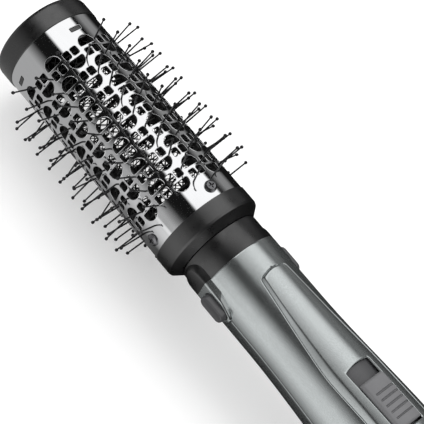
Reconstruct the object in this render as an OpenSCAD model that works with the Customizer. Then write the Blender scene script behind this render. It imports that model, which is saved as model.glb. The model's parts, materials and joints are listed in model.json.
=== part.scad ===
// Hot air brush with a removable perforated barrel.
// The tool's axis is +Y: the cord end is at y = 0 and the brush cap is at the far end.
// +Z comes out of the switch panel, and the release buttons are at +X and -X.

/* [Barrel] */
// Outer radius of the barrel tube
barrel_r = 25; // [23.5:0.1:25]
// Wall of the barrel tube
barrel_wall = 0.6; // [0.5:0.1:0.8]
// Rear end of the barrel tube
barrel_y0 = 205; // [205:1:205]
// Front end of the barrel tube
barrel_y1 = 315; // [315:1:316]
// Columns of air holes round the barrel
hole_columns = 16; // [16:1:16]
// Rows of air holes along the barrel
hole_rows = 7; // [5:1:7]
// Distance from one row of air holes to the next
hole_pitch = 12.6; // [12:0.1:12.6]

/* [Bristles] */
// Radius of a bristle pin
pin_r = 0.4; // [0.3:0.05:0.4]
// Radius of the ball at a pin's tip
ball_r = 0.85; // [0.6:0.05:0.9]
// Distance from the axis to a ball's centre
tip_r = 37.3; // [32:0.1:40]
// Distance from one pin to the next in a row
pin_pitch = 8.6; // [8:0.1:8.6]
// Pins in the longest rows
pins_in_row = 11; // [6:1:11]

/* [Cap and collar] */
// Outer radius of the cap and of the collar
rim_r = 25.4; // [25.2:0.1:26.5]
// Front face of the cap
cap_y = 326.7; // [326:0.1:330]
// Rear face of the collar
collar_y0 = 192.3; // [192.3:0.1:192.3]
// Radius of the socket that slides over the outlet
socket_r = 17.65; // [17.65:0.01:17.7]

/* [Handle] */
// Radius of the handle's waist
waist_r = 20.8; // [20.8:0.1:21.2]
// Largest radius of the grip
bulge_r = 23.8; // [23.5:0.1:24.5]
// Radius near the rear end
tail_r = 21.6; // [21.5:0.1:22]
// Thickness of the handle shells
shell_wall = 2; // [1.8:0.1:2]
// Front end of the handle shells
shell_y1 = 179.2; // [179.2:0.1:179.2]
// Rear end of the handle shells
shell_y0 = 24; // [24:1:24]

/* [Controls] */
// Length of the sliding knob
knob_length = 25; // [20:1:25]
// How far the knob slides forward
knob_travel = 7; // [4:0.5:7]
// Number of grooves across the knob
knob_grooves = 5; // [3:1:5]
// Length of a release button
button_length = 14; // [12:0.5:14]
// Width of a release button
button_width = 6; // [5:0.1:6]

/* [Motor and heater] */
// Outer radius of the motor can
can_r = 12; // [11:0.1:12]
// Radius of the motor shaft
shaft_r = 1; // [0.8:0.05:1]
// Running clearance round every turning or sliding shaft
running_gap = 0.05; // [0.02:0.01:0.08]
// Number of fan blades
fan_blades = 8; // [5:1:9]
// Turns of the heating coil
coil_turns = 8; // [5:1:9]

/* [Hidden] */
$fn = 72;

// Barrel and bristles
column_step = 360 / hole_columns;
first_hole_y = barrel_y1 - 13.3;
last_pin_y = barrel_y1 - 14.8;
screw_ring_y = barrel_y0 + 5.3;
tab_ring_y = barrel_y1 - 6.3;
hub_y1 = barrel_y0 + 7.6;
core_y1 = barrel_y1 - 11.5;
core_r = 20.6;
liner_r = barrel_r - barrel_wall - 0.1;
side_angles = [0, 90, 180, 270];
row_shift = [0, 0.5, 0.25, 0.75];
rest_rows = [7, 8];

// Outlet and latches
outlet_r = socket_r - running_gap;
outlet_bore_r = 15.8;
outlet_y0 = 158;
outlet_y1 = 205.5;
outlet_rear_r = 17.2;
hook_r0 = 18.3;
hook_r1 = 19.1;
hook_half_width = 2.5;
nose_r = 19.7;
nose_y0 = 194.9;
nose_y1 = 197.9;
sleeve_y0 = 194;
latch_channel_r = 20;
button_y = 169;
pod_floor_r = 22.3;
pod_rear_y = 158.5;
pod_front_y = 190;
pod_rear_r = 6.6;
pod_front_r = 7.6;
neck_r = 20.5;
flange_r0 = 20;
flange_r1 = 20.9;
button_face_r = 25.5;

// Handle profile
bulge_y = 65;
waist_y = 145;
tail_y = 15;
panel_raise = 0.9;
panel_depth = 1.1;
panel_width = 27.2;
panel_y1 = 165.6;
panel_taper = 0.12;
panel_taper_y = 113;

// Slide switch
knob_y0 = 76.2;
knob_half = 6.8;
knob_rear_r = 25.9;
knob_front_r = 25;
first_groove = 7.2;
window_y0 = knob_y0 - 1.1;
window_y1 = knob_y0 + knob_length + knob_travel + 1;
window_half = knob_half + 0.5;
plate_half = window_half + 0.2;
plate_r = 21.3;
plate_wall = 1.6;
groove_pitch = 3.2;
board_z = 5;
board_wall = 1.6;
board_y0 = 85;
board_y1 = 108;

// Case screws
boss_x = 14.5;
boss_ys = [80, 113];

// Cord gland
gland_bore_r = 3.6;
gland_r = 7;
gland_y1 = 10.6;

// Motor and heater
can_y0 = 44;
can_y1 = 73;
can_wall = 0.8;
shield_r0 = 17;
shield_r1 = 17.6;

function ease(t) = t <= 0 ? 0 : t >= 1 ? 1 : t * t * (3 - 2 * t);

// Outer radius of the grip at a distance y from the cord end
function handle_r(y) = y > bulge_y
  ? waist_r + (bulge_r - waist_r) * ease((waist_y - y) / (waist_y - bulge_y))
  : tail_r + (bulge_r - tail_r) * ease((y - tail_y) / (bulge_y - tail_y));

// Half the width of the control panel, which narrows towards the brush head
function panel_half(y) = let (u = y - panel_taper_y) (panel_width - panel_taper * (u + sqrt(u * u + 25))) / 2;

function mirrored(points) = concat(points, [for (i = [len(points) - 1:-1:0]) [-points[i][0], points[i][1]]]);

// Turns +Z into +Y
module along_y() {
  rotate([-90, 0, 0]) children();
}

// A solid of revolution round the tool's axis, from points [radius, y]
module revolve(points) {
  along_y() rotate_extrude() polygon(points);
}

module rod(r, y0, y1) {
  translate([0, y0, 0]) along_y() cylinder(r = r, h = y1 - y0);
}

module tube(r_out, r_in, y0, y1) {
  difference() {
    rod(r_out, y0, y1);
    rod(r_in, y0 - 1, y1 + 1);
  }
}

// Puts a child drawn on +Z at an angle round the tool's axis, from +Z towards +X
module around(angle) {
  rotate([0, angle, 0]) children();
}

module box(x0, x1, y0, y1, z0, z1) {
  translate([x0, y0, z0]) cube([x1 - x0, y1 - y0, z1 - z0]);
}

// A wall that follows the grip, between two offsets from its outer surface
module grip_skin(y0, y1, out, in) {
  steps = 30;
  ys = [for (i = [0:steps]) y0 + (y1 - y0) * i / steps];
  revolve(concat(
    [for (y = ys) [handle_r(y) + out, y]],
    [for (i = [steps:-1:0]) [handle_r(ys[i]) + in, ys[i]]]
  ));
}

// A prism with round ends along Y, standing on the axis and pointing along +X
module pill(length, width, x0, x1, y) {
  half = (length - width) / 2;
  translate([x0, y, 0]) rotate([0, 90, 0]) linear_extrude(x1 - x0) union() {
    translate([0, -half]) circle(d = width);
    translate([0, half]) circle(d = width);
    square([width, 2 * half], center = true);
  }
}

// A round wire wound along +Z, swept as one closed surface
module helix(coil_r, wire_r, height, turns, per_turn, sides) {
  count = turns * per_turn;
  function centre(i) = [
    coil_r * cos(360 * i / per_turn),
    coil_r * sin(360 * i / per_turn),
    height * i / count
  ];
  points = [for (i = [0:count]) for (j = [0:sides - 1])
    let (turn = 360 * i / per_turn, side = 360 * j / sides)
    centre(i) + wire_r * [cos(side) * cos(turn), cos(side) * sin(turn), sin(side)]
  ];
  walls = [for (i = [0:count - 1]) for (j = [0:sides - 1])
    let (k = (j + 1) % sides)
    [i * sides + j, i * sides + k, (i + 1) * sides + k, (i + 1) * sides + j]
  ];
  ends = [
    [for (j = [sides - 1:-1:0]) j],
    [for (j = [0:sides - 1]) count * sides + j]
  ];
  polyhedron(points, concat(ends, walls), convexity = 8);
}

// Brush head

// Air hole with one flat side and one round side; toward is 1 where the round side faces the cap
module d_hole(toward) {
  translate([0, -toward * 1.5]) intersection() {
    circle(r = 4.1);
    translate([0, toward * 2.1]) square([9, 6.4], center = true);
  }
}

module hole_pair() {
  for (side = [-1, 1]) translate([side * 2.18, 0]) square([3.5, 4.3], center = true);
}

module hole_column(flat_first) {
  for (row = [0:hole_rows - 1]) {
    y = first_hole_y - row * hole_pitch;
    translate([0, flat_first ? y - 2.4 : y - 6.2]) hole_pair();
    translate([0, flat_first ? y - 8.3 : y]) d_hole(flat_first ? -1 : 1);
  }
}

module end_cap() {
  corner = 3;
  color([0.2, 0.2, 0.21]) union() {
    revolve(concat(
      [[22.6, core_y1], [liner_r, core_y1], [liner_r, barrel_y1], [rim_r, barrel_y1]],
      [for (a = [0:15:90]) [rim_r - corner + corner * cos(a), cap_y - corner + corner * sin(a)]],
      [[15.2, cap_y], [15.2, cap_y - 1.5], [0, cap_y - 1.5], [0, cap_y - 4], [22.6, cap_y - 4]]
    ));
    for (angle = side_angles) around(angle)
      box(-2.9, 2.9, tab_ring_y - 1, tab_ring_y + 1, 23.4, barrel_r - 0.1);
  }
}

module tip_disc() {
  color([0.12, 0.12, 0.13]) revolve([
    [0, cap_y - 1.5], [15.1, cap_y - 1.5], [15.1, cap_y - 0.6], [13.8, cap_y - 0.3], [0, cap_y - 0.1]
  ]);
}

module barrel() {
  color([0.82, 0.83, 0.84]) difference() {
    tube(barrel_r, barrel_r - barrel_wall, barrel_y0, barrel_y1);
    for (column = [0:hole_columns - 1]) around(column * column_step)
      translate([0, 0, barrel_r - 5]) linear_extrude(8) hole_column(column % 2 == 1);
    for (angle = side_angles) around(angle) {
      box(-3.05, 3.05, tab_ring_y - 1.15, tab_ring_y + 1.15, barrel_r - 3, barrel_r + 3);
      translate([0, screw_ring_y, 20]) cylinder(r = 1.6, h = 8);
    }
  }
}

module bristle_core() {
  color([0.1, 0.1, 0.1]) union() {
    for (row = [0:hole_columns - 1]) around((row + 0.5) * column_step)
      box(-1.1, 1.1, hub_y1, core_y1, core_r, liner_r - 0.15);
    for (y = [hub_y1, (hub_y1 + core_y1) / 2 - 1, core_y1 - 2]) tube(core_r + 1.4, core_r, y, y + 2);
  }
}

module bristle_pin(row, index) {
  y = last_pin_y - (row_shift[row % 4] + index) * pin_pitch;
  around((row + 0.5) * column_step) translate([0, y, 0]) {
    translate([0, 0, core_r + 1]) cylinder(r = pin_r, h = tip_r - core_r - 1, $fn = 16);
    translate([0, 0, tip_r]) sphere(r = ball_r, $fn = 20);
  }
}

function last_index(row) = pins_in_row - (row_shift[row % 4] == 0 ? 1 : 2);
function rests(row, index) = len(search(row, rest_rows)) > 0 && (index == 0 || index == last_index(row));

module bristle_pins() {
  color([0.06, 0.06, 0.06])
    for (row = [0:hole_columns - 1]) for (index = [0:last_index(row)])
      if (!rests(row, index)) bristle_pin(row, index);
}

module rest_pins() {
  color([0.06, 0.06, 0.06])
    for (row = rest_rows) for (index = [0, last_index(row)]) bristle_pin(row, index);
}

module barrel_screws() {
  color([0.7, 0.7, 0.72]) for (angle = side_angles) around(angle)
    translate([0, screw_ring_y, 0]) difference() {
      union() {
        translate([0, 0, 22]) cylinder(r = 1.45, h = 3);
        translate([0, 0, barrel_r - 0.1]) cylinder(r = 2.95, h = 0.7);
        translate([0, 0, barrel_r + 0.6]) cylinder(r1 = 2.95, r2 = 2.1, h = 0.7);
      }
      for (turn = [0, 90]) rotate([0, 0, turn]) box(-1.6, 1.6, -0.35, 0.35, barrel_r + 0.4, barrel_r + 2);
    }
}

module latch_channels(r, y0, y1) {
  for (side = [-1, 1]) on_side(side) box(15, r, y0, y1, -3.1, 3.1);
}

// Copies a child drawn on +X to the -X side where side is -1
module on_side(side) {
  mirror([side < 0 ? 1 : 0, 0, 0]) children();
}

module collar() {
  color([0.2, 0.2, 0.21]) difference() {
    revolve([
      [neck_r + 0.1, collar_y0], [rim_r - 0.4, 195.9], [rim_r, 196.9], [rim_r, barrel_y0], [liner_r, barrel_y0],
      [liner_r, hub_y1], [21.3, hub_y1], [21.3, sleeve_y0], [17.9, sleeve_y0], [17.9, collar_y0]
    ]);
    latch_channels(latch_channel_r, collar_y0 - 1, sleeve_y0 + 1);
    for (angle = side_angles) around(angle) translate([0, screw_ring_y, 21]) cylinder(r = 1.45, h = 8);
  }
}

module latch_sleeve() {
  color([0.6, 0.6, 0.62]) difference() {
    tube(21.25, socket_r, sleeve_y0, 207);
    latch_channels(latch_channel_r, collar_y0, nose_y1 + 2.5);
    latch_channels(20.8, nose_y0 - 0.3, nose_y1 + 0.4);
  }
}

// Handle

module neck_ring() {
  color([0.09, 0.09, 0.1]) difference() {
    union() {
      rod(neck_r, shell_y1, collar_y0 - 0.3);
      for (side = [-1, 1]) on_side(side) intersection() {
        button_pod();
        box(0, 30, shell_y1, collar_y0, -20, 20);
      }
    }
    rod(socket_r, 170, 200);
    rod(19.6, 180, 200);
    latch_channels(latch_channel_r, 170, 185);
  }
}

// Raised island that a release button sits in, rounded at both ends
module button_pod() {
  rear_y = pod_rear_y + pod_rear_r;
  front_y = pod_front_y - pod_front_r;
  intersection() {
    translate([0, pod_front_y, 0]) rotate([90, 0, 0]) linear_extrude(pod_front_y - pod_rear_y)
      polygon([[16, -7.6], [19, -7.1], [pod_floor_r, -5.5], [pod_floor_r, 5.5], [19, 7.1], [16, 7.6]]);
    union() {
      translate([10, rear_y, 0]) rotate([0, 90, 0]) cylinder(r = pod_rear_r, h = 20);
      box(10, 30, rear_y, front_y, -pod_front_r, pod_front_r);
      translate([10, front_y, 0]) rotate([0, 90, 0]) cylinder(r = pod_front_r, h = 20);
    }
  }
}

module outlet_spigot() {
  color([0.08, 0.08, 0.08]) difference() {
    union() {
      tube(outlet_rear_r, outlet_bore_r, outlet_y0, 176);
      tube(18.4, outlet_bore_r, 176, 177.5);
      tube(outlet_r, outlet_bore_r, 177.5, outlet_y1);
      for (turn = [45, 135]) around(turn) box(-16.5, 16.5, outlet_y1 - 2.5, outlet_y1, -0.6, 0.6);
      for (side = [-1, 1]) on_side(side) translate([16.6, button_y, 0]) rotate([0, 90, 0]) cylinder(r = 1.1, h = 2.8);
    }
    for (side = [-1, 1]) on_side(side) box(16.5, 19, 172.8, outlet_y1 + 1, -3, 3);
  }
}

// Outline of the control panel, seen from above
module panel_outline(grow) {
  nose_r = 16.2 + grow;
  rear_half = panel_half(58) + grow;
  polygon(mirrored(concat(
    [for (a = [0:5:25]) [nose_r * sin(a), panel_y1 - 16.2 + nose_r * cos(a)]],
    [for (y = [panel_y1 - 2.4:-7.6:66]) [panel_half(y) + grow, y]],
    [for (a = [0:15:90]) [rear_half * cos(a), 58 - (14 + grow) * sin(a)]]
  )));
}

module panel_prism(grow) {
  linear_extrude(40) panel_outline(grow);
}

module case_shell() {
  difference() {
    union() {
      grip_skin(shell_y0, shell_y1, 0, -shell_wall);
      for (side = [-1, 1]) on_side(side) intersection() {
        button_pod();
        tube(30, waist_r - shell_wall, 150, shell_y1);
      }
      tube(19.4, 17.25, 174.6, 176);
      for (y = [120, 150]) tube(waist_r - 1, shield_r1 + 0.05, y, y + 2);
      tube(22, 19.55, 50, 52);
    }
    for (side = [-1, 1]) on_side(side) {
      pill(button_length + 0.6, button_width + 0.6, 15, 30, button_y);
      pill(17.2, 8.6, 15, flange_r1 + 0.3, button_y);
      box(15, 19.7, 170, 180, -3, 3);
    }
  }
}

// Posts that the case screws pass through, from a height z up to z + 20
module screw_bosses(r, z) {
  for (y = boss_ys) intersection() {
    union() for (x = [-boss_x, boss_x]) translate([x, y, z]) cylinder(r = r, h = 20);
    rod(handle_r(y) - 1, y - 6, y + 6);
  }
}

module upper_shell() {
  color([0.63, 0.67, 0.67]) difference() {
    union() {
      intersection() {
        case_shell();
        box(-40, 40, 0, 200, 0, 40);
      }
      screw_bosses(3.2, 0);
      for (side = [-1, 1]) on_side(side) intersection() {
        box(17, 22, board_y0, board_y1, board_z - 1.6, board_z);
        rod(handle_r(board_y1) - 1, 60, 130);
      }
    }
    intersection() {
      panel_prism(0.2);
      grip_skin(40, 170, 5, -panel_depth - 0.05);
    }
    box(-9, 9, 62, 122, 5, 40);
    for (x = [-boss_x, boss_x]) for (y = boss_ys) translate([x, y, -1]) cylinder(r = 1.2, h = 9);
  }
}

module lower_shell() {
  color([0.63, 0.67, 0.67]) difference() {
    union() {
      intersection() {
        case_shell();
        box(-40, 40, 0, 200, -40, 0);
      }
      screw_bosses(4, -20);
    }
    for (x = [-boss_x, boss_x]) for (y = boss_ys) translate([x, y, 0]) {
      translate([0, 0, -30]) cylinder(r = 1.4, h = 40);
      translate([0, 0, -30]) cylinder(r = 2.9, h = 21);
    }
  }
}

module case_screws() {
  color([0.3, 0.3, 0.32]) for (x = [-boss_x, boss_x]) for (y = boss_ys) translate([x, y, 0]) difference() {
    union() {
      translate([0, 0, -9]) cylinder(r = 1.2, h = 16);
      translate([0, 0, -10.8]) cylinder(r = 2.6, h = 1.8);
    }
    for (turn = [0, 90]) rotate([0, 0, turn]) box(-1.5, 1.5, -0.35, 0.35, -12, -9.9);
  }
}

module control_panel() {
  color([0.68, 0.72, 0.73]) difference() {
    intersection() {
      panel_prism(0);
      grip_skin(40, 170, panel_raise, -panel_depth);
    }
    box(-window_half, window_half, window_y0, window_y1, 5, 40);
    intersection() {
      rod(plate_r + 0.3, 60, window_y1 + knob_travel + 2.5);
      box(-plate_half - 0.8, plate_half + 0.8, 60, window_y1 + knob_travel + 2.5, 5, 40);
    }
  }
}

module rear_cover() {
  wall = 1.8;
  color([0.09, 0.09, 0.1]) difference() {
    union() {
      difference() {
        revolve([
          [8, 0], [14, 0], [17.2, 1.2], [19.6, 4.4], [21, 10], [handle_r(shell_y0), shell_y0],
          [19.7, shell_y0], [19.7, 27.5], [18.2, 27.5], [18.2, 22],
          [21 - wall, 10], [19.6 - wall, 5.2], [17.2 - wall, 2.6], [14, 1.8], [8, 1.8]
        ]);
        for (slot = [0:17]) around(slot * 20 + 10) box(-1.1, 1.1, 5.5, 17, 14, 30);
        for (slot = [0:11]) around(slot * 30) box(-1, 1, -1, 3, 11, 14.5);
      }
      tube(10.5, gland_r + running_gap, 0, 8.3);
      tube(10.5, 8.9, 8.3, 10.9);
    }
    rod(gland_r + running_gap, -1, 8.3);
  }
}

module air_filter() {
  color([0.3, 0.3, 0.3]) union() {
    tube(18.1, 16.9, 22.2, 24.6);
    tube(16.9, 3, 23.2, 23.8);
  }
}

module gland_retainer() {
  color([0.2, 0.2, 0.2]) tube(10.5, 4.5, 10.9, 12.4);
}

module cord_gland() {
  color([0.06, 0.06, 0.06]) revolve([
    [gland_bore_r, 0], [gland_r, 0], [gland_r, 8.6], [8.6, 8.6], [8.6, gland_y1], [gland_bore_r, gland_y1]
  ]);
}

// Slide switch

module slide_knob() {
  y1 = knob_y0 + knob_length;
  color([0.45, 0.45, 0.46]) difference() {
    intersection() {
      revolve([
        [plate_r, knob_y0], [knob_rear_r - 0.8, knob_y0], [knob_rear_r, knob_y0 + 1.5],
        [knob_front_r, y1 - 2], [knob_front_r - 1.1, y1], [plate_r, y1]
      ]);
      box(-knob_half, knob_half, knob_y0, y1, 5, 40);
    }
    for (groove = [0:knob_grooves - 1]) {
      y = y1 - first_groove - groove * groove_pitch;
      translate([0, y, 0]) along_y() rotate_extrude() translate([25.55, 0]) circle(r = 0.75, $fn = 20);
    }
  }
}

module slide_plate() {
  color([0.22, 0.22, 0.23]) union() {
    intersection() {
      tube(plate_r, plate_r - plate_wall, window_y0 - 8, window_y1 + 0.8);
      box(-plate_half, plate_half, 60, 130, 5, 40);
    }
    box(-1.4, 1.4, 90, 93, 12, plate_r - 1);
  }
}

module switch_block() {
  top = 14.5;
  color([0.15, 0.15, 0.16]) difference() {
    box(-6, 6, board_y0 + 0.5, 104, board_z + board_wall, top);
    box(-1.8, 1.8, 89, 101, 11, top + 1);
  }
}

module circuit_board() {
  color([0.1, 0.35, 0.2]) intersection() {
    box(-30, 30, board_y0, board_y1, board_z, board_z + board_wall);
    rod(handle_r(board_y1) - shell_wall - 0.1, 60, 130);
  }
}

// Release buttons

module button_shape() {
  difference() {
    union() {
      pill(button_length, button_width, flange_r0, button_face_r - 0.5, button_y);
      pill(button_length - 1, button_width - 1, flange_r0, button_face_r, button_y);
      pill(16.6, 8, flange_r0, flange_r1, button_y);
    }
    pill(11.6, 4.2, flange_r0 - 1, 23.9, button_y);
  }
}

module hook_shape() {
  box(flange_r0 - 0.8, flange_r0, 171.5, 175.5, -hook_half_width, hook_half_width);
  box(hook_r0, hook_r1, 174.2, nose_y1 + 0.5, -hook_half_width, hook_half_width);
  box(hook_r0, flange_r0 - 0.4, 174.2, 175.5, -hook_half_width, hook_half_width);
  box(hook_r1 - 0.2, nose_r, nose_y0, nose_y1, -hook_half_width, hook_half_width);
}

module spring_shape() {
  translate([17.55, button_y, 0]) rotate([0, 90, 0]) helix(1.7, 0.25, 6, 6, 16, 6);
}

module left_button() {
  color([0.25, 0.25, 0.26]) on_side(-1) button_shape();
}

module right_button() {
  color([0.25, 0.25, 0.26]) on_side(1) button_shape();
}

module left_latch_hook() {
  color([0.7, 0.7, 0.72]) on_side(-1) hook_shape();
}

module right_latch_hook() {
  color([0.7, 0.7, 0.72]) on_side(1) hook_shape();
}

module left_spring() {
  color([0.75, 0.75, 0.76]) on_side(-1) spring_shape();
}

module right_spring() {
  color([0.75, 0.75, 0.76]) on_side(1) spring_shape();
}

// Motor and fan

module fan_duct() {
  color([0.85, 0.85, 0.82]) union() {
    tube(19.5, 18.8, 28.5, 62);
    tube(13.2, can_r + 0.02, 47, 63);
    for (vane = [0:6]) around(vane * 360 / 7) box(-0.6, 0.6, 49, 60, 12.9, 19);
  }
}

module motor_can() {
  color([0.65, 0.66, 0.68]) difference() {
    union() {
      rod(can_r, can_y0, can_y1);
      rod(4, can_y0 - 1.5, can_y0 + 1);
    }
    rod(can_r - can_wall, can_y0 + 1.2, can_y1 + 1);
    rod(3, 40, 50);
  }
}

module motor_end_bell() {
  color([0.9, 0.88, 0.8]) difference() {
    union() {
      rod(can_r - can_wall, 70.5, can_y1);
      rod(4.2, can_y1, 76.8);
    }
    rod(1.6, 60, 80);
    rod(3, 74, 80);
  }
}

module motor_magnets() {
  color([0.2, 0.2, 0.2]) for (side = [-1, 1]) on_side(side) intersection() {
    tube(can_r - can_wall, 8.9, 49, 66);
    box(3.2, 20, 40, 80, -20, 20);
  }
}

module motor_bushes() {
  color([0.7, 0.5, 0.25]) {
    tube(3, shaft_r + running_gap, can_y0 - 1.5, can_y0 + 1.2);
    tube(3, shaft_r + running_gap, 74, 76.8);
  }
}

module motor_brushes() {
  color([0.3, 0.3, 0.32]) for (angle = [0, 180]) around(angle) {
    box(-1.2, 1.2, 67.5, 69.5, 3.1, 6);
    box(-1.6, 1.6, 67.5, 70.5, 6, 6.5);
  }
}

module rotor_shaft() {
  color([0.8, 0.8, 0.82]) rod(shaft_r, 30, 76.4);
}

module pole_webs(half) {
  for (pole = [0:4]) around(pole * 72) box(-half, half, 40, 80, 0, 7.6);
}

module armature() {
  color([0.45, 0.45, 0.48]) difference() {
    intersection() {
      union() {
        tube(8.4, 7, 50, 65);
        rod(3, 50, 65);
        pole_webs(0.9);
      }
      rod(8.4, 50, 65);
    }
    for (gap = [0:4]) around(gap * 72 + 36) box(-0.7, 0.7, 45, 70, 6.5, 10);
    rod(shaft_r, 40, 80);
  }
}

module armature_windings() {
  color([0.72, 0.4, 0.18]) difference() {
    tube(6.9, 3.2, 48.5, 66.5);
    pole_webs(1);
  }
}

module commutator() {
  color([0.75, 0.45, 0.2]) difference() {
    tube(2.8, shaft_r, 67, 70);
    for (gap = [0:4]) around(gap * 72) box(-0.2, 0.2, 66, 71, 2.3, 4);
  }
}

module fan_impeller() {
  color([0.15, 0.15, 0.16]) difference() {
    union() {
      revolve([[0, 31], [5, 31.4], [7.6, 34], [8, 37], [8, 41], [0, 41]]);
      intersection() {
        union() for (blade = [0:fan_blades - 1]) around(blade * 360 / fan_blades)
          translate([0, 36, 0]) rotate([0, 0, 38]) box(-0.6, 0.6, -5.6, 5.6, 6.5, 19);
        rod(18.4, 31.5, 40.5);
      }
    }
    rod(shaft_r, 25, 45);
  }
}

// Heater

module heater_boards() {
  color([0.72, 0.66, 0.5]) for (turn = [0, 90]) around(turn) {
    box(-15, 15, 121, 155, -0.35, 0.35);
    for (y = [122, 150]) box(-16.9, 16.9, y, y + 4, -0.35, 0.35);
  }
}

module heating_coil() {
  color([0.55, 0.5, 0.45]) translate([0, 127, 0]) along_y() helix(15.65, 0.35, 22, coil_turns, 24, 6);
}

module heat_shield() {
  color([0.75, 0.74, 0.7]) tube(shield_r1, shield_r0, 118, 157);
}

module thermostat() {
  color([0.7, 0.7, 0.68]) union() {
    box(1.5, 8.5, 128, 138, 0.35, 2.4);
    translate([5, 133, 2.4]) cylinder(r = 3, h = 1.2);
  }
}

module thermal_fuse() {
  color([0.8, 0.8, 0.75]) translate([-6, 0, 1.9]) union() {
    rod(1.4, 129, 138);
    rod(0.35, 125, 142);
  }
}

end_cap();
tip_disc();
barrel();
bristle_core();
bristle_pins();
rest_pins();
barrel_screws();
collar();
latch_sleeve();
neck_ring();
outlet_spigot();
upper_shell();
lower_shell();
control_panel();
case_screws();
rear_cover();
air_filter();
gland_retainer();
cord_gland();
slide_knob();
slide_plate();
switch_block();
circuit_board();
left_button();
left_latch_hook();
left_spring();
right_button();
right_latch_hook();
right_spring();
fan_duct();
motor_can();
motor_end_bell();
motor_magnets();
motor_bushes();
motor_brushes();
rotor_shaft();
armature();
armature_windings();
commutator();
fan_impeller();
heater_boards();
heating_coil();
heat_shield();
thermostat();
thermal_fuse();
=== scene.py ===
"""Hot air brush: the looks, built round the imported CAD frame.

Lengths in this script are millimetres, turned into metres by MM when a mesh is made. The tool's axis is +Y.
An angle round the axis is measured from +Z (the switch panel) towards +X.
"""
import json
import math
import random

import bmesh
import bpy
import numpy as np
from mathutils import Matrix, Vector
from mathutils.geometry import delaunay_2d_cdt


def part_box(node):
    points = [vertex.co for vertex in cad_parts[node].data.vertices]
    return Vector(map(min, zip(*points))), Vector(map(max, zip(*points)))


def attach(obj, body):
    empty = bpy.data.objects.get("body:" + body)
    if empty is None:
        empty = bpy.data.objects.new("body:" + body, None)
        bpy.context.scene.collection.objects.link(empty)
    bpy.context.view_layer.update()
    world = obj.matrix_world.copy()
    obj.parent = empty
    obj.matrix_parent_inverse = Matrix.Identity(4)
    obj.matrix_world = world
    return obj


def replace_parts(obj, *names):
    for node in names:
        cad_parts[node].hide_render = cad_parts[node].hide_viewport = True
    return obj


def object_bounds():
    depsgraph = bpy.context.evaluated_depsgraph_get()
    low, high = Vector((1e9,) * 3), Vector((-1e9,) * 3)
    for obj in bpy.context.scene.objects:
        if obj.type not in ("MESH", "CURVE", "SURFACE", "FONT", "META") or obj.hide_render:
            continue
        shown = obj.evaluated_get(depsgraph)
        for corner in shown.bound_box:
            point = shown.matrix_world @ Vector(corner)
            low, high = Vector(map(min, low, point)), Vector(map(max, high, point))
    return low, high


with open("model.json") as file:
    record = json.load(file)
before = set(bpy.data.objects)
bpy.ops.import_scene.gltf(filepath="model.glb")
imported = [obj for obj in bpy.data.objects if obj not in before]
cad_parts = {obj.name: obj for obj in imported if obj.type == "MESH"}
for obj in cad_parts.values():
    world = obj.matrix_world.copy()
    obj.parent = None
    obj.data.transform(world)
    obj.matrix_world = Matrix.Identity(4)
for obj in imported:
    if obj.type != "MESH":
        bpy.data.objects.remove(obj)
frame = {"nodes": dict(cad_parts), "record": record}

MM = 0.001
CAD_BOX = [list(corner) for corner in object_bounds()]
NODES = frame["nodes"]


def span(node, axis):
    """Lowest and highest coordinate of a CAD node along an axis, in millimetres."""
    low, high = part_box(node)
    return low[axis] / MM, high[axis] / MM


# Driving dimensions, from the frame where it holds them
BARREL_Y0, BARREL_Y1 = span("barrel", 1)
BARREL_R = span("barrel", 0)[1]
BARREL_WALL = 0.6
HOLE_COLUMNS = 16
HOLE_ROWS = 7
HOLE_PITCH = 12.6
COLUMN_STEP = 360 / HOLE_COLUMNS
TAB_RING_Y = BARREL_Y1 - 6.3
CORE_Y0, CORE_Y1 = span("bristle_core", 1)
CORE_R = 20.6
PIN_TIP_R = 37.3
PIN_R = 0.4
BALL_R = 0.85
PIN_PITCH = 8.6
PINS_IN_ROW = 11
ROW_SHIFT = (0, 0.5, 0.25, 0.75)
CAP_Y0, CAP_Y1 = BARREL_Y1, span("end_cap", 1)[1]
RIM_R = span("end_cap", 0)[1]
NECK_Y0, NECK_Y1 = span("neck_ring", 1)
CASE_Y0, CASE_Y1 = span("lower_shell", 1)
BULGE_R = span("lower_shell", 0)[1]
NECK_R = span("neck_ring", 2)[1]
WAIST_R = 20.8
TAIL_R = 21.6
BULGE_Y, WAIST_Y, TAIL_Y = 65, 145, 15
KNOB_Y0, KNOB_Y1 = span("slide_knob", 1)
KNOB_HALF = span("slide_knob", 0)[1]
KNOB_TOP = span("slide_knob", 2)[1]
WINDOW_Y0 = KNOB_Y0 - 1.1
WINDOW_Y1 = KNOB_Y1 + 8
WINDOW_HALF = KNOB_HALF + 0.5
WINDOW_ARCH = 1.0
BUTTON_LOW, BUTTON_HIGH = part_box("right_button")
BUTTON_Y = (BUTTON_LOW[1] + BUTTON_HIGH[1]) / 2 / MM
BUTTON_TOP = BUTTON_HIGH[0] / MM
POD_FLOOR_R = 22.3
PANEL_RAISE = 0.9
EDGE_RISE = -0.25
BEVEL_WIDE, BEVEL_NARROW = 2.5, 1.0
BEVEL_PEAK_Y, BEVEL_REACH_FRONT, BEVEL_REACH_REAR = 112, 45, 65
PANEL_Y1 = span("control_panel", 1)[1]
PANEL_NOSE_R = 16.2
PANEL_REAR_Y, REAR_ARCH = 58, 14
SEAM_GAP = 0.25


# Mesh helpers

def new_object(name, mesh, body, material):
    piece = bpy.data.objects.new(name, mesh)
    bpy.context.scene.collection.objects.link(piece)
    mesh.materials.append(material)
    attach(piece, body)
    return piece


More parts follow.
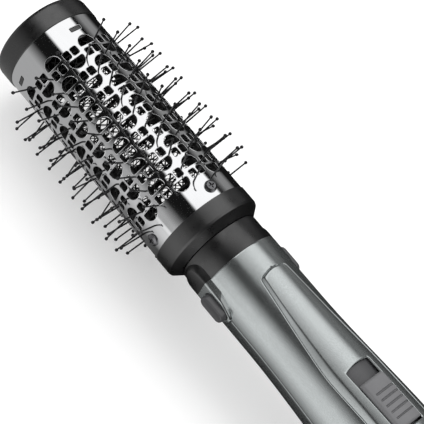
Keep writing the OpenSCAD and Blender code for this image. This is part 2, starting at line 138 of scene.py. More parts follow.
def finish_mesh(bm, name, crease=35.0, weld=0.004):
    """Welds, orients and smooths a mesh made in millimetres, and returns it in metres."""
    bmesh.ops.remove_doubles(bm, verts=bm.verts, dist=weld)
    bmesh.ops.dissolve_degenerate(bm, edges=bm.edges, dist=weld / 4)
    bmesh.ops.recalc_face_normals(bm, faces=bm.faces)
    bmesh.ops.scale(bm, vec=(MM, MM, MM), verts=bm.verts)
    mesh = bpy.data.meshes.new(name)
    bm.to_mesh(mesh)
    bm.free()
    mesh.shade_smooth()
    mesh.set_sharp_from_angle(angle=math.radians(crease))
    return mesh


def loft_into(bm, loops, closed=True, cap_start=False, cap_end=False, ring=False):
    """Joins loops of points, all with the same count, by quads."""
    rows = [[bm.verts.new(p) for p in loop] for loop in loops]
    count = len(rows[0])
    pairs = list(zip(rows, rows[1:]))
    if ring:
        pairs.append((rows[-1], rows[0]))
    for a, b in pairs:
        for i in range(count if closed else count - 1):
            j = (i + 1) % count
            bm.faces.new((a[i], a[j], b[j], b[i]))
    if cap_start:
        bm.faces.new(rows[0])
    if cap_end:
        bm.faces.new(rows[-1])
    return rows


def turned(r, y, degrees):
    """Point at a radius and a distance along the axis, at an angle from +Z towards +X."""
    a = math.radians(degrees)
    return (r * math.sin(a), y, r * math.cos(a))


def rounded(points, steps=4):
    """A closed profile of (r, y, corner radius) with each corner turned into an arc."""
    out = []
    count = len(points)
    for i, (x, y, radius) in enumerate(points):
        here = Vector((x, y))
        before = (Vector(points[i - 1][:2]) - here)
        after = (Vector(points[(i + 1) % count][:2]) - here)
        if radius <= 0:
            out.append(tuple(here))
            continue
        u, v = before.normalized(), after.normalized()
        half = u.angle(v) / 2
        reach = min(radius / math.tan(half), before.length * 0.49, after.length * 0.49)
        radius = reach * math.tan(half)
        centre = here + (u + v).normalized() * (radius / math.sin(half))
        start, end = here + u * reach - centre, here + v * reach - centre
        for k in range(steps + 1):
            t = k / steps
            out.append(tuple(centre + start.slerp(end, t, start).normalized() * start.length))
    return out


def lathe(name, profile, body, material, segments=144, crease=35.0):
    """Solid of revolution round the tool's axis from a closed profile of (r, y, corner radius)."""
    bm = bmesh.new()
    outline = rounded(profile)
    loops = [[turned(max(r, 0.0), y, 360 * k / segments) for r, y in outline] for k in range(segments)]
    loft_into(bm, loops, closed=True, ring=True)
    return new_object(name, finish_mesh(bm, name, crease), body, material)


# Materials

def shader(name, color, metallic, roughness, **sockets):
    material = bpy.data.materials.new(name)
    material.use_nodes = True
    tree = material.node_tree
    bsdf = tree.nodes["Principled BSDF"]
    bsdf.inputs["Base Color"].default_value = (*color, 1)
    bsdf.inputs["Metallic"].default_value = metallic
    bsdf.inputs["Roughness"].default_value = roughness
    for socket, value in sockets.items():
        bsdf.inputs[socket.replace("_", " ")].default_value = value
    return material, tree, bsdf


def noise(tree, scale, detail=4.0, stretch=(1, 1, 1)):
    """Noise in the object's own metres, so that it stays at its real scale."""
    coords = tree.nodes.new("ShaderNodeTexCoord")
    mapping = tree.nodes.new("ShaderNodeMapping")
    mapping.inputs["Scale"].default_value = stretch
    texture = tree.nodes.new("ShaderNodeTexNoise")
    texture.inputs["Scale"].default_value = scale
    texture.inputs["Detail"].default_value = detail
    tree.links.new(coords.outputs["Object"], mapping.inputs["Vector"])
    tree.links.new(mapping.outputs["Vector"], texture.inputs["Vector"])
    return texture.outputs["Fac"]


def map_range(tree, value, low, high, from_low=0.3, from_high=0.7):
    node = tree.nodes.new("ShaderNodeMapRange")
    node.inputs["From Min"].default_value = from_low
    node.inputs["From Max"].default_value = from_high
    node.inputs["To Min"].default_value = low
    node.inputs["To Max"].default_value = high
    tree.links.new(value, node.inputs["Value"])
    return node.outputs["Result"]


def tinted(tree, bsdf, value, dark, light):
    """Base colour that wanders between two colours."""
    mix = tree.nodes.new("ShaderNodeMix")
    mix.data_type = "RGBA"
    mix.inputs["A"].default_value = (*dark, 1)
    mix.inputs["B"].default_value = (*light, 1)
    tree.links.new(value, mix.inputs["Factor"])
    tree.links.new(mix.outputs["Result"], bsdf.inputs["Base Color"])


def bumped(tree, bsdf, height, distance_mm, strength=1.0):
    node = tree.nodes.new("ShaderNodeBump")
    node.inputs["Strength"].default_value = strength
    node.inputs["Distance"].default_value = distance_mm * MM
    tree.links.new(height, node.inputs["Height"])
    tree.links.new(node.outputs["Normal"], bsdf.inputs["Normal"])


def scaled(color, factor):
    return tuple(c * factor for c in color)


def moulded(name, color, roughness, grain_mm=0.35, relief_mm=0.012, spread=0.12, ior=1.5):
    """Moulded plastic: fine spark-eroded grain, slight mottling, uneven gloss."""
    material, tree, bsdf = shader(name, color, 0.0, roughness, IOR=ior)
    tinted(tree, bsdf, noise(tree, 90), scaled(color, 1 - spread), scaled(color, 1 + spread))
    spread = map_range(tree, noise(tree, 260), roughness - 0.06, roughness + 0.06)
    tree.links.new(spread, bsdf.inputs["Roughness"])
    bumped(tree, bsdf, noise(tree, 1 / (grain_mm * MM), 2.0), relief_mm)
    return material


def lacquered(name, color, roughness):
    """Metallic lacquer: fine flake under a thin clear coat."""
    material, tree, bsdf = shader(name, color, 0.93, roughness, Coat_Weight=0.2, Coat_Roughness=0.1)
    tinted(tree, bsdf, noise(tree, 2300, 2.0), scaled(color, 0.8), scaled(color, 1.2))
    spread = map_range(tree, noise(tree, 180), roughness - 0.02, roughness + 0.02)
    tree.links.new(spread, bsdf.inputs["Roughness"])
    bumped(tree, bsdf, noise(tree, 2600, 2.0), 0.002)
    return material


def metal(name, color, roughness, brush=(1, 1, 1), relief_mm=0.003, spread=0.06, scale=900):
    """Bare metal with brushing along the axis whose stretch is smallest."""
    material, tree, bsdf = shader(name, color, 1.0, roughness)
    streaks = noise(tree, scale, 3.0, brush)
    tinted(tree, bsdf, streaks, scaled(color, 1 - spread), scaled(color, 1 + spread))
    rough = map_range(tree, noise(tree, 120, 5.0), roughness * 0.75, roughness * 1.35)
    tree.links.new(rough, bsdf.inputs["Roughness"])
    bumped(tree, bsdf, streaks, relief_mm)
    return material


CHARCOAL = (0.005, 0.005, 0.0053)
BLACK = (0.005, 0.005, 0.0053)
SILVER = (0.52, 0.55, 0.55)

MATERIALS = {
    "chrome_barrel": metal("barrel_chrome", (0.86, 0.865, 0.875), 0.08, (1, 0.08, 1), 0.0015, 0.03),
    "charcoal": moulded("charcoal_plastic", CHARCOAL, 0.32, ior=1.95),
    "black_plastic": moulded("black_plastic", BLACK, 0.32, ior=1.85),
    "silver_lacquer": lacquered("silver_lacquer", SILVER, 0.21),
    "knob_grey": moulded("knob_grey", (0.145, 0.145, 0.15), 0.45, 0.3, 0.015),
    "button_grey": moulded("button_grey", (0.05, 0.05, 0.053), 0.4, ior=1.7),
    "bristle_nylon": moulded("bristle_nylon", (0.008, 0.008, 0.009), 0.3, 0.5, 0.004),
    "core_nylon": moulded("core_nylon", (0.014, 0.014, 0.014), 0.55),
    "screw_steel": metal("screw_steel", (0.24, 0.24, 0.25), 0.3),
    "steel": metal("plain_steel", (0.56, 0.57, 0.59), 0.3, (1, 0.1, 1)),
    "black_screw": metal("black_oxide", (0.05, 0.05, 0.055), 0.4),
    "bronze": metal("sintered_bronze", (0.55, 0.36, 0.16), 0.5),
    "copper": metal("copper_wire", (0.62, 0.27, 0.12), 0.35, (1, 6, 1)),
    "ferrite": moulded("ferrite", (0.03, 0.03, 0.032), 0.7),
    "carbon": moulded("carbon", (0.015, 0.015, 0.015), 0.6),
    "white_nylon": moulded("white_nylon", (0.70, 0.69, 0.63), 0.45),
    "mica": moulded("mica_sheet", (0.42, 0.34, 0.22), 0.42, 1.5, 0.03, 0.25),
    "nichrome": metal("nichrome", (0.35, 0.31, 0.29), 0.4, (1, 4, 1)),
    "board_green": moulded("solder_mask", (0.02, 0.13, 0.05), 0.3),
    "filter_grey": moulded("filter_mesh", (0.05, 0.05, 0.052), 0.7, 0.6, 0.1),
    "gland_rubber": moulded("gland_rubber", (0.012, 0.012, 0.012), 0.6),
}
# The barrel's inner wall gets near-black metal: painted shade inside the tube, darker than the chrome sheet itself.
PAINTED_SHADE_INSIDE = metal("barrel_inside_painted_shade", (0.05, 0.05, 0.052), 0.55, (1, 0.08, 1), 0.004)


# Brush head

def d_outline(cx, cy, toward, grow=0.0, steps=16):
    """Air hole with a flat side, whose round side faces the cap where toward is 1."""
    radius, flat, corner = 4.1 + grow, 1.1 + grow, 0.7 + grow
    centre_y = cy - toward * 1.5
    # where the round side meets the flat side, the corner is eased by a small arc
    inner = radius - corner
    end_x = math.sqrt(inner ** 2 - (flat - corner) ** 2)
    start = math.degrees(math.atan2(-(flat - corner), end_x))
    points = []
    for k in range(5):
        a = math.radians(-90 + (start + 90) * k / 4)
        points.append((end_x + corner * math.cos(a), -(flat - corner) + corner * math.sin(a)))
    for k in range(1, steps):
        a = math.radians(start + (180 - 2 * start) * k / steps)
        points.append((radius * math.cos(a), radius * math.sin(a)))
    mirrored = [(-x, y) for x, y in reversed(points[:5])]
    return [(cx + x, centre_y + toward * y) for x, y in points + mirrored]


def square_outline(cx, cy, width, height, corner, grow=0.0):
    hx, hy, corner = width / 2 + grow, height / 2 + grow, corner + grow
    points = []
    for quadrant, (sx, sy) in enumerate(((1, 1), (-1, 1), (-1, -1), (1, -1))):
        for k in range(5):
            a = math.radians(90 * quadrant + 22.5 * k)
            points.append((
                cx + sx * (hx - corner) + corner * math.cos(a),
                cy + sy * (hy - corner) + corner * math.sin(a),
            ))
    return points


def hole_shapes(with_slot):
    """Every hole in two neighbouring columns, as functions of how far the outline is grown."""
    shapes = []
    first = BARREL_Y1 - 13.3
    second_x = math.radians(COLUMN_STEP) * BARREL_R

    def add(kind, *sizes):
        shapes.append(lambda grow: kind(*sizes, grow=grow))

    for row in range(HOLE_ROWS):
        y = first - row * HOLE_PITCH
        add(d_outline, 0.0, y, 1)
        add(d_outline, second_x, y - 8.3, -1)
        for side in (-1, 1):
            add(square_outline, side * 2.18, y - 6.2, 3.5, 4.3, 0.9)
            add(square_outline, second_x + side * 2.18, y - 2.4, 3.5, 4.3, 0.9)
    if with_slot:
        add(square_outline, 0.0, TAB_RING_Y, 6.1, 2.3, 0.5)
    return shapes


def inside(point, loop):
    x, y = point
    hit = False
    for (x0, y0), (x1, y1) in zip(loop, loop[1:] + loop[:1]):
        if (y0 > y) != (y1 > y) and x < (x1 - x0) * (y - y0) / (y1 - y0) + x0:
            hit = not hit
    return hit


STRIP_COLUMNS = 16


def web(loops, x0, x1, y0, y1):
    """Triangles of a flat strip with the loops cut out of it: points, and triangles of their numbers."""
    points, edges = [], []
    for loop in loops:
        start = len(points)
        points += loop
        edges += [(start + i, start + (i + 1) % len(loop)) for i in range(len(loop))]
    boxes = [
        (min(x for x, _ in p), max(x for x, _ in p), min(y for _, y in p), max(y for _, y in p)) for p in loops
    ]

    def clear(x, y):
        return not any(a - 0.45 < x < b + 0.45 and c - 0.45 < y < d + 0.45 for a, b, c, d in boxes)

    rows = 44
    for i in range(STRIP_COLUMNS + 1):
        for j in range(rows + 1):
            x, y = x0 + (x1 - x0) * i / STRIP_COLUMNS, y0 + (y1 - y0) * j / rows
            if i in (0, STRIP_COLUMNS) or j in (0, rows) or clear(x, y):
                points.append((x, y))
    out = delaunay_2d_cdt([Vector(p) for p in points], edges, [], 0, 1e-5)
    flat = [tuple(v) for v in out[0]]
    kept = []
    for face in out[2]:
        cx = sum(flat[i][0] for i in face) / 3
        cy = sum(flat[i][1] for i in face) / 3
        near = [loop for loop, (a, b, c, d) in zip(loops, boxes) if a < cx < b and c < cy < d]
        if not any(inside((cx, cy), loop) for loop in near):
            kept.append(tuple(face))
    return flat, kept


def barrel_sheet():
    """Pressed sheet tube: each hole has a raised rim that rolls over into the wall."""
    bm = bmesh.new()
    inner_r = BARREL_R - BARREL_WALL
    rim = [(0.3, 0.0), (0.22, 0.05), (0.13, 0.09), (0.05, 0.07), (0.0, -0.03), (0.0, -BARREL_WALL)]
    step = math.radians(COLUMN_STEP) * BARREL_R
    x0, x1 = -step / 2, step * 1.5

    def on_tube(x, y, r, turn):
        return turned(r, y, math.degrees(x / BARREL_R) + turn)

    for with_slot in (False, True):
        shapes = hole_shapes(with_slot)
        outer = web([shape(rim[0][0]) for shape in shapes], x0, x1, BARREL_Y0, BARREL_Y1)
        inner = web([shape(0.0) for shape in shapes], x0, x1, BARREL_Y0, BARREL_Y1)
        for pair in range(0 if with_slot else 1, HOLE_COLUMNS // 2, 2):
            turn = pair * 2 * COLUMN_STEP
            for (flat, faces), r in ((outer, BARREL_R), (inner, inner_r)):
                verts = [bm.verts.new(on_tube(x, y, r, turn)) for x, y in flat]
                for face in faces:
                    bm.faces.new([verts[i] for i in face])
            for y in (BARREL_Y0, BARREL_Y1):
                ends = [x0 + (x1 - x0) * i / STRIP_COLUMNS for i in range(STRIP_COLUMNS + 1)]
                loft_into(
                    bm, [[on_tube(x, y, r, turn) for x in ends] for r in (BARREL_R, inner_r)], closed=False,
                )
            for shape in shapes:
                loops = [[on_tube(x, y, BARREL_R + lift, turn) for x, y in shape(grow)] for grow, lift in rim]
                loft_into(bm, loops)
    mesh = finish_mesh(bm, "barrel_sheet", 180, 0.002)
    radial_normals(mesh)
    piece = new_object("barrel_sheet", mesh, "head", MATERIALS["chrome_barrel"])
    # the faces of the inner wall take the second slot, the near-black painted shade
    mesh.materials.append(PAINTED_SHADE_INSIDE)
    for polygon in mesh.polygons:
        if math.hypot(polygon.center.x, polygon.center.z) / MM < inner_r + 0.05:
            polygon.material_index = 1
    return piece


def radial_normals(mesh):
    """Straightens the normals of points that lie exactly on the tube, so that it reflects as a cylinder."""
    normals = []
    for vertex in mesh.vertices:
        out = Vector((vertex.co.x, 0, vertex.co.z))
        on_outside = abs(out.length / MM - BARREL_R) < 0.001
        normals.append(out.normalized() if on_outside else vertex.normal)
    mesh.normals_split_custom_set_from_vertices(normals)


def bristles():
    """Straight nylon pins with ball tips, which stand a little unevenly and stay inside the CAD's own box."""
    rng = random.Random(7)
    bm = bmesh.new()
    last_y = BARREL_Y1 - 14.8
    side_limit = CAD_BOX[1][0] / MM - BALL_R
    sides, rings = 8, 6

    def wander():
        return min(max(rng.gauss(0, 1.1), -1.9), 1.9)

    for row in range(HOLE_COLUMNS):
        turn = Matrix.Rotation(math.radians((row + 0.5) * COLUMN_STEP), 3, "Y")
        shift = ROW_SHIFT[row % 4]
        for index in range(PINS_IN_ROW - (1 if shift else 0)):
            y = last_y - (shift + index) * PIN_PITCH
            across, along = wander(), wander()
            reach = PIN_TIP_R - rng.random() * 0.3
            tip = turn @ Vector((across, 0, reach))
            reach -= 1.1 * max(0.0, abs(tip.x) - side_limit, abs(tip.z) - side_limit)
            stations = [
                (CORE_R + 1, PIN_R * 1.25), (BARREL_R + 0.3, PIN_R * 1.1), (reach - BALL_R * 0.9, PIN_R * 0.9),
            ]
            for k in range(1, rings):
                a = math.pi * (0.17 + 0.83 * k / rings)
                stations.append((reach - BALL_R * math.cos(a), BALL_R * math.sin(a)))
            loops = []
            for r, thick in stations:
                t = max(0.0, (r - BARREL_R) / (PIN_TIP_R - BARREL_R))
                loops.append([
                    turn @ Vector((
                        across * t + thick * math.cos(2 * math.pi * s / sides),
                        y + along * t + thick * math.sin(2 * math.pi * s / sides),
                        r,
                    )) for s in range(sides)
                ])
            loft_into(bm, loops, cap_start=True, cap_end=True)
    mesh = finish_mesh(bm, "bristles", 60, 0.0005)
    piece = new_object("bristles", mesh, "head", MATERIALS["bristle_nylon"])
    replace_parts(piece, "bristle_pins", "rest_pins")
    return piece


def bristle_core():
    """Nylon cage that the pins are rooted in: a rail under each row, tied by hoops and crossing strands."""
    bm = bmesh.new()
    rail_top = BARREL_R - BARREL_WALL - 0.25
    section = [
        (-1.1, CORE_R), (-1.1, rail_top - 0.3), (-0.8, rail_top), (0.8, rail_top), (1.1, rail_top - 0.3),
        (1.1, CORE_R),
    ]
    for row in range(HOLE_COLUMNS):
        turn = Matrix.Rotation(math.radians((row + 0.5) * COLUMN_STEP), 3, "Y")
        loops = [[turn @ Vector((x, y, r)) for x, r in section] for y in (CORE_Y0, CORE_Y1)]
        loft_into(bm, loops, cap_start=True, cap_end=True)
    hoop_r, wire_r, segments, sides = 22.9, 0.3, 96, 5
    y = CORE_Y0 + 2.0
    while y < CORE_Y1 - 1.0:
        loops = []
        for k in range(segments):
            loops.append([
                turned(
                    hoop_r + wire_r * math.cos(2 * math.pi * s / sides),
                    y + wire_r * math.sin(2 * math.pi * s / sides),
                    360 * k / segments,
                ) for s in range(sides)
            ])
        loft_into(bm, loops, ring=True)
        y += 3.15
    strand_r, strands, steps, winding = 22.2, 30, 72, 250
    for hand in (-1, 1):
        for strand in range(strands):
            loops = []
            for k in range(steps + 1):
                y = CORE_Y0 + 0.5 + (CORE_Y1 - CORE_Y0 - 1.0) * k / steps
                r = strand_r + 0.25 * hand + 0.3 * math.sin(k * 0.9 + strand)
                loops.append([
                    turned(
                        r + wire_r * math.cos(2 * math.pi * s / sides),
                        y + wire_r * math.sin(2 * math.pi * s / sides),
                        360 * strand / strands + hand * winding * k / steps,
                    ) for s in range(sides)
                ])
            loft_into(bm, loops, cap_start=True, cap_end=True)
    mesh = finish_mesh(bm, "core_cage", 40, 0.0005)
    piece = new_object("core_cage", mesh, "head", MATERIALS["core_nylon"])
    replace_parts(piece, "bristle_core")


def cap():
    corner = 3.0
    profile = [
        (22.6, CAP_Y0 - 11.5, 0.2), (BARREL_R - 0.7, CAP_Y0 - 11.5, 0.2), (BARREL_R - 0.7, CAP_Y0, 0),
        (RIM_R - 0.3, CAP_Y0, 0.2), (RIM_R, CAP_Y0 + 0.3, 0.15), (RIM_R, CAP_Y1, corner), (15.3, CAP_Y1, 0.4),
        (15.1, CAP_Y1 - 1.5, 0.1), (2.0, CAP_Y1 - 1.5, 0.1), (2.0, CAP_Y1 - 4, 0.1), (22.6, CAP_Y1 - 4, 1.0),
    ]
    piece = lathe("cap_shell", profile, "head", MATERIALS["charcoal"])
    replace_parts(piece, "end_cap")
    for turn in (0, 90, 180, 270):
        cap_tab(turn)


def cap_tab(turn):
    """Snap tab that shows in a slot of the barrel."""
    bm = bmesh.new()
    loops = []
    for r, grow in ((23.2, 0.0), (24.6, 0.0), (24.8, -0.15), (24.85, -0.4)):
        outline = square_outline(0, TAB_RING_Y, 5.8, 2.0, 0.5, grow)
        loops.append([Matrix.Rotation(math.radians(turn), 3, "Y") @ Vector((x, y, r)) for x, y in outline])
    loft_into(bm, loops, cap_start=True, cap_end=True)
    name = f"cap_tab_{turn}"
    new_object(name, finish_mesh(bm, name), "head", MATERIALS["charcoal"])


# Handle

def ease(t):
    t = min(max(t, 0.0), 1.0)
    return t * t * (3 - 2 * t)


def case_r(y):
    """Outer radius of the grip at a distance y from the cord end."""
    if y > BULGE_Y:
        return WAIST_R + (BULGE_R - WAIST_R) * ease((WAIST_Y - y) / (WAIST_Y - BULGE_Y))
    return TAIL_R + (BULGE_R - TAIL_R) * ease((y - TAIL_Y) / (BULGE_Y - TAIL_Y))


def panel_half(y, grow=0.0):
    """Half the width of the control panel's outline at y, or 0 beyond it."""
    if y < PANEL_REAR_Y:
        t = (PANEL_REAR_Y - y) / (REAR_ARCH + grow)
        return panel_half(PANEL_REAR_Y, grow) * math.sqrt(max(0.0, 1 - t * t))
    u = y - 113
    side = 13.6 - 0.06 * (u + math.sqrt(u * u + 25)) + grow
    nose, ahead = PANEL_NOSE_R + grow, y - (PANEL_Y1 - PANEL_NOSE_R)
    if ahead <= 0:
        return side
    arch = math.sqrt(max(1e-9, nose * nose - ahead * ahead))
    return 0.0 if ahead >= nose else (side ** -16 + arch ** -16) ** (-1 / 16)


def panel_rows(grow=0.0):
    """Stations along the panel, closer together towards its ends."""
    centre, nose = PANEL_Y1 - PANEL_NOSE_R, PANEL_NOSE_R + grow
    rows = [centre + nose * math.cos(math.radians(1.5 * k)) for k in range(19)]
    rows += [y for y in np.arange(round(rows[-1]) - 0.5, PANEL_REAR_Y, -1.0)]
    rows += [PANEL_REAR_Y - (REAR_ARCH + grow) * math.sin(math.radians(a)) for a in range(0, 91, 5)]
    return rows


def bevel_width(y):
    """Width of the panel's sloped edge, which is widest beside the switch window's front."""
    reach = BEVEL_REACH_FRONT if y > BEVEL_PEAK_Y else BEVEL_REACH_REAR
    return BEVEL_NARROW + (BEVEL_WIDE - BEVEL_NARROW) * ease(1 - abs(y - BEVEL_PEAK_Y) / reach)


def control_panel():
    """Raised tongue with a sloped edge that widens towards the cord end, and the switch window."""
    inner, outer = 8, 14
    fixed = [WINDOW_Y0, WINDOW_Y1]
    rows = [y for y in panel_rows() if not any(0 < abs(y - w) < 0.4 for w in fixed)]
    rows = sorted({round(y, 4) for y in rows + fixed}, reverse=True)
    outline = np.array([(panel_half(y), y) for y in np.linspace(rows[-1], rows[0], 2500)])
    bm = bmesh.new()
    grid = []
    for y in rows:
        w = panel_half(y)
        c = min(WINDOW_HALF, 0.6 * w)
        xs = [c * k / inner for k in range(inner)]
        xs += [c + (w - c) * (1 - (1 - k / outer) ** 1.3) for k in range(outer + 1)]
        line = []
        for x in [-x for x in reversed(xs[1:])] + xs:
            # the row at the window's front end bows forward into its arch
            bow = WINDOW_ARCH * max(0.0, 1 - (x / WINDOW_HALF) ** 2) * max(0.0, 1 - abs(y - WINDOW_Y1) / 6)
            y_here = y + bow
            edge = np.sqrt(((outline - (abs(x), y_here)) ** 2).sum(1)).min()
            slope = edge / bevel_width(y)
            rise = EDGE_RISE + (PANEL_RAISE - EDGE_RISE) * min(1.0, slope)
            rise -= 0.05 * max(0.0, 1 - abs(edge - bevel_width(y)) / 0.16)
            r = case_r(y_here) + rise
            x_safe = math.copysign(min(abs(x), r), x)
            line.append(bm.verts.new((x_safe, y_here, math.sqrt(r * r - x_safe * x_safe))))
        grid.append(line)
    for (y_a, a), (y_b, b) in zip(zip(rows, grid), zip(rows[1:], grid[1:])):
        for i in range(len(a) - 1):
            mid_x = (a[i].co.x + a[i + 1].co.x + b[i].co.x + b[i + 1].co.x) / 4
            if abs(mid_x) < WINDOW_HALF and WINDOW_Y0 < (y_a + y_b) / 2 < WINDOW_Y1:
                continue
            bm.faces.new((a[i], a[i + 1], b[i + 1], b[i]))
    loose = [v for v in bm.verts if not v.link_faces]
    bmesh.ops.delete(bm, geom=loose, context="VERTS")
    mesh = finish_mesh(bm, "panel_plate", 50, 0.01)
    piece = new_object("panel_plate", mesh, "handle", MATERIALS["silver_lacquer"])
    thicken(piece, 1.0)
    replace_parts(piece, "control_panel")
    return piece


def thicken(piece, wall_mm):
    """Gives a skin its wall, inwards."""
    solid = piece.modifiers.new("wall", "SOLIDIFY")
    solid.thickness = wall_mm * MM
    solid.offset = -1
    solid.use_even_offset = False
    solid.use_quality_normals = True


def case_half(name, node, upper):
    """One half of the grip's casing: the upper half has the panel's recess in it."""
    rows = {round(y, 3) for y in np.arange(CASE_Y0 + 0.5, CASE_Y1 - 0.5, 2.0)}
    rows |= {CASE_Y0, CASE_Y1, CASE_Y1 - 0.25}
    rows |= {round(y, 3) for y in np.arange(BUTTON_Y - 9.5, BUTTON_Y - 3, 0.25)}
    if upper:
        rows |= {round(y, 4) for y in panel_rows(SEAM_GAP)}
    columns, free, fixed_from = 44, 34, 75
    bm = bmesh.new()
    for side in (-1, 1):
        grid = []
        for y in sorted(rows):
            r = case_r(y) - (0.2 if y in (CASE_Y0, CASE_Y1) else 0.0)
            start = 0.0
            if upper:
                low, high = PANEL_REAR_Y - REAR_ARCH - SEAM_GAP, PANEL_Y1 + SEAM_GAP
                half = panel_half(y, SEAM_GAP) if low < y < high else 0.0
                start = math.degrees(math.asin(half / r))
            line = []
            for k in range(columns + 1):
                # even columns up to 75 degrees, and fixed ones from there to the seam
                near_seam = fixed_from + (90 - fixed_from) * (k - free) / (columns - free)
                angle = start + (fixed_from - start) * k / free if k < free else near_seam
                drop = 0.012 if k == columns else 0.0
                line.append(bm.verts.new(turned(r - drop, y, side * (angle if upper else 180 - angle))))
            grid.append(line)
        for a, b in zip(grid, grid[1:]):
            for i in range(columns):
                # the casing is open under the release buttons, inside their islands
                off_seam = abs(a[i].co.z)
                if off_seam > 4.9 or a[i].co.y < BUTTON_Y - 9.55 + 0.27 * off_seam ** 2:
                    bm.faces.new((a[i], a[i + 1], b[i + 1], b[i]))
    bmesh.ops.delete(bm, geom=[v for v in bm.verts if not v.link_faces], context="VERTS")
    mesh = finish_mesh(bm, name, 50, 0.004)
    piece = new_object(name, mesh, "handle", MATERIALS["silver_lacquer"])
    thicken(piece, 1.8)
    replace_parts(piece, node)
    return piece


def pill_loop(length, width, d, side, count=16):
    """Outline with round ends along Y, facing out along X at a distance d from the axis."""
    half = (length - width) / 2
    points = []
    for k in range(count + 1):
        a = math.radians(180 * k / count)
        points.append((side * d, BUTTON_Y + half + width / 2 * math.sin(a), width / 2 * math.cos(a)))
    for k in range(1, 2 * count):
        a = math.radians(90 * k / count)
        points.append((side * d, BUTTON_Y - half - width / 2 * math.sin(a), -width / 2 * math.cos(a)))
    return points


def pod_loop(half, front_y, rear_y, taper, d, side, count=16):
    """Outline of the button's raised island: an arch at the front and a teardrop's point at the rear."""
    centre_y = front_y - half
    points = []
    for k in range(count + 1):
        a = math.radians(180 * k / count)
        points.append((side * d, centre_y + half * math.sin(a), half * math.cos(a)))
    for k in range(1, 2 * count):
        z = -half * math.cos(math.pi * k / (2 * count))
        points.append((side * d, rear_y + taper * (z / half) ** 2, z))
    return points


def button_pod(side):
    """Raised island round a release button, in the casing's lacquer behind the neck and black on it."""
    word = "left" if side < 0 else "right"
    for part, material, slot, keep in (
        ("rear", "silver_lacquer", "silver_lacquer", -1),
        ("front", "black_plastic", "black_plastic", 1),
    ):
        bm = bmesh.new()
        front = NECK_Y1 - 0.1
        floor = POD_FLOOR_R
        loops = [
            pod_loop(7.8, front, 158.2, 14, 18.4, side),
            pod_loop(7.1, front - 0.1, 159.0, 13, 19.5, side),
            pod_loop(6.0, front - 1.7, 159.6, 10, floor - 0.9, side),
            pod_loop(5.4, front - 2.6, 160.0, 8.5, floor - 0.15, side),
            pod_loop(5.15, front - 2.9, 160.2, 8.2, floor, side),
            pill_loop(15.2, 7.2, floor, side),
            pill_loop(14.9, 6.9, floor - 0.25, side),
            pill_loop(14.6, 6.6, floor - 0.3, side),
            pill_loop(14.6, 6.6, 21.2, side),
            pill_loop(17.2, 8.6, 21.2, side),
            pill_loop(17.2, 8.6, 18.4, side),
        ]
        loft_into(bm, loops, ring=True)
        geometry = bm.verts[:] + bm.edges[:] + bm.faces[:]
        cut = bmesh.ops.bisect_plane(
            bm, geom=geometry, plane_co=(0, CASE_Y1, 0), plane_no=(0, keep, 0),
            clear_inner=True, clear_outer=False,
        )
        rim = [e for e in cut["geom_cut"] if isinstance(e, bmesh.types.BMEdge)]
        bmesh.ops.triangle_fill(bm, edges=rim, use_beauty=True)
        name = f"{word}_pod_{part}"
        new_object(name, finish_mesh(bm, name, 40), "handle", MATERIALS[material])


def release_button(side):
    word = "left" if side < 0 else "right"
    bm = bmesh.new()
    top = BUTTON_TOP
    loops = [
        pill_loop(11.6, 4.2, 20.0, side), pill_loop(15.0, 6.7, 20.0, side), pill_loop(15.0, 6.7, 20.9, side),
        pill_loop(14.0, 6.0, 20.9, side), pill_loop(14.0, 6.0, top - 0.9, side),
        pill_loop(13.8, 5.8, top - 0.4, side),
        pill_loop(13.3, 5.3, top - 0.08, side), pill_loop(12.8, 4.8, top, side),
        pill_loop(12.2, 4.2, top - 0.05, side),
        pill_loop(10.8, 2.8, top - 0.15, side), pill_loop(9.0, 1.0, top - 0.2, side),
    ]
    loft_into(bm, loops, cap_end=True)
    hollow = [pill_loop(11.6, 4.2, d, side) for d in (20.0, top - 1.6)]
    loft_into(bm, hollow, cap_end=True)
    name = f"{word}_button_cap"
    piece = new_object(
        name, finish_mesh(bm, name), f"{word}_release", MATERIALS["button_grey"],
    )
    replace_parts(piece, f"{word}_button")


def slide_knob():
    """Rounded thumb pad with grooves across it."""
    bm = bmesh.new()
    ys = np.linspace(KNOB_Y0, KNOB_Y1, 151)
    columns = 40
    base = span("slide_knob", 2)[0] - 0.05
    groove_first, groove_pitch = KNOB_Y1 - 7.2, 3.2

    def top(y, x):
        along = (y - KNOB_Y0) / (KNOB_Y1 - KNOB_Y0)
        height = KNOB_TOP - 0.9 * along
        edge = min(y - KNOB_Y0, KNOB_Y1 - y)
        height -= 1.1 * max(0.0, 1 - edge / 1.4) ** 2
        # the grooves stop short of the smooth strip along the knob's left edge
        depth = 0.95 * min(1.0, max(0.0, (x + KNOB_HALF - 2.0) / 0.7))
        for g in range(5):
            away = abs(y - (groove_first - g * groove_pitch))
            if away < 0.5:
                height -= depth * math.sqrt(1 - (away / 0.5) ** 2)
        return height

    def corner(x):
        edge = KNOB_HALF - abs(x)
        return 0.7 * max(0.0, 1 - edge / 0.9) ** 2

    across = [KNOB_HALF * math.sin(math.pi / 2 * (2 * k / columns - 1)) for k in range(columns + 1)]
    grid = []
    for y in ys:
        line = []
        for x in across:
            radius = top(y, x) - corner(x)
            line.append((x, y, math.sqrt(radius * radius - x * x)))
        grid.append([(across[0], y, base)] + line + [(across[-1], y, base)])
    loft_into(bm, grid, closed=True, cap_start=True, cap_end=True)
    mesh = finish_mesh(bm, "knob_pad", 40, 0.002)
    piece = new_object("knob_pad", mesh, "switch_slider", MATERIALS["knob_grey"])
    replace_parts(piece, "slide_knob")


